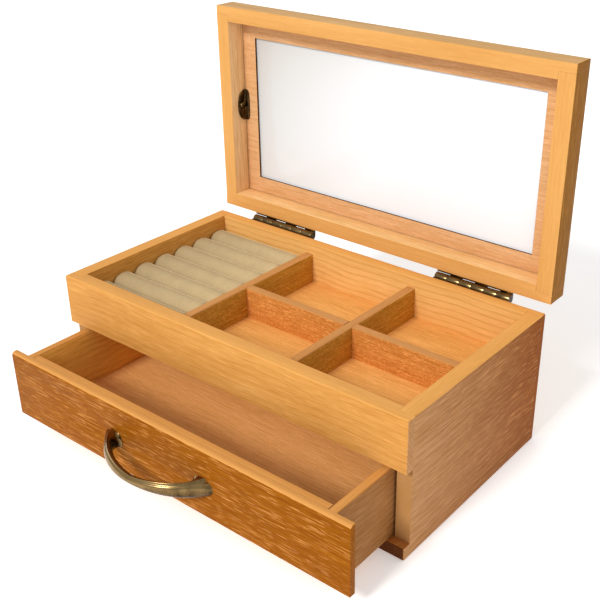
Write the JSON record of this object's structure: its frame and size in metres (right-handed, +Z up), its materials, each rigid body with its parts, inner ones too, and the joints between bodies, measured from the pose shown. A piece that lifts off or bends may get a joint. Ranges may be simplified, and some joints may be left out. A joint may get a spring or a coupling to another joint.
{
  "type": "jewelry box",
  "caption": "Wooden jewelry box with a divided tray, padded ring rolls, a pull-out drawer with a bow pull and a hinged lid that holds a mirror.",
  "frame": {"origin": "centre of the base's underside, on the surface the box stands on", "axes": "+X to the right seen from the front, -Y out of the front (the way the drawer opens), +Z up"},
  "size_m": [0.3, 0.2658, 0.2665],
  "materials": {
    "beech": "clear satin lacquer on solid beech",
    "beech_plywood": "clear lacquer on thin plywood",
    "fibreboard": "bare",
    "velvet": "short-pile velvet",
    "antique_brass": "darkened and relieved",
    "zinc_steel": "zinc plated",
    "mirror_glass": "silvered"
  },
  "bodies": {
    "case": {"base_panel": "beech", "side_panel_left": "beech", "side_panel_right": "beech", "front_rail": "beech", "back_panel": "beech", "tray_floor": "beech_plywood", "divider_left": "beech", "divider_right": "beech", "divider_cross": "beech", "ring_pad_board": "fibreboard", "ring_roll_1": "velvet", "ring_roll_2": "velvet", "ring_roll_3": "velvet", "ring_roll_4": "velvet", "ring_roll_5": "velvet", "ring_roll_6": "velvet", "ring_roll_7": "velvet", "hinge_left_case_leaf": "antique_brass", "hinge_left_pin": "antique_brass", "hinge_left_case_screw_1": "antique_brass", "hinge_left_case_screw_2": "antique_brass", "hinge_left_case_screw_3": "antique_brass", "hinge_right_case_leaf": "antique_brass", "hinge_right_pin": "antique_brass", "hinge_right_case_screw_1": "antique_brass", "hinge_right_case_screw_2": "antique_brass", "hinge_right_case_screw_3": "antique_brass"},
    "drawer": {"drawer_front": "beech", "drawer_inner_front": "beech", "drawer_side_left": "beech", "drawer_side_right": "beech", "drawer_back": "beech", "drawer_bottom": "beech_plywood", "drawer_pull": "antique_brass", "pull_screw_left": "zinc_steel", "pull_screw_right": "zinc_steel"},
    "lid": {"lid_rail_front": "beech", "lid_rail_rear": "beech", "lid_stile_left": "beech", "lid_stile_right": "beech", "mirror_surround": "beech_plywood", "mirror": "mirror_glass", "lid_top_panel": "beech_plywood", "mirror_clip_left": "antique_brass", "clip_screw_left": "antique_brass", "mirror_clip_right": "antique_brass", "clip_screw_right": "antique_brass", "hinge_left_lid_leaf": "antique_brass", "hinge_left_lid_screw_1": "antique_brass", "hinge_left_lid_screw_2": "antique_brass", "hinge_left_lid_screw_3": "antique_brass", "hinge_right_lid_leaf": "antique_brass", "hinge_right_lid_screw_1": "antique_brass", "hinge_right_lid_screw_2": "antique_brass", "hinge_right_lid_screw_3": "antique_brass"}
  },
  "joints": [
    {"name": "lid_hinge", "type": "hinge", "parent": "case", "child": "lid", "pos_m": [0, 0.08555, 0.1002], "axis": [1, 0, 0], "range_deg": [0, 90]},
    {"name": "drawer_slide", "type": "slide", "parent": "case", "child": "drawer", "axis": [0, -1, 0], "range_m": [-0.0536, 0.056]}
  ]
}
